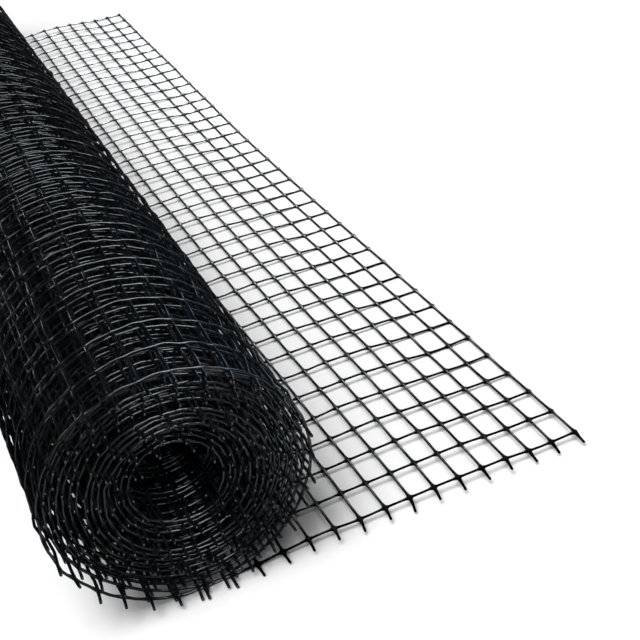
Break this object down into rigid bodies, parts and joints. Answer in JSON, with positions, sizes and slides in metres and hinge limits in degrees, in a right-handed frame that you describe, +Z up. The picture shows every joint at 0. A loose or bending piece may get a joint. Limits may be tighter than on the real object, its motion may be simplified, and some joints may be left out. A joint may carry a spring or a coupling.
{
  "type": "roll of mole netting",
  "caption": "Roll of rectangular-mesh plastic mole netting lying on the ground, wound loosely round an open core, with its outer end laid out flat.",
  "frame": {"origin": "middle of the footprint, on the ground", "axes": "+Y along the roll's axis, away from the end with the net's long stubs in view; +X from the roll towards the laid-out length; +Z up"},
  "size_m": [0.306, 1.007, 0.1432],
  "materials": {
    "net_plastic": "black extruded polyethylene strands with a soft satin sheen"
  },
  "bodies": {
    "root": {"wound_roll": "net_plastic", "loose_length": "net_plastic"}
  },
  "joints": []
}
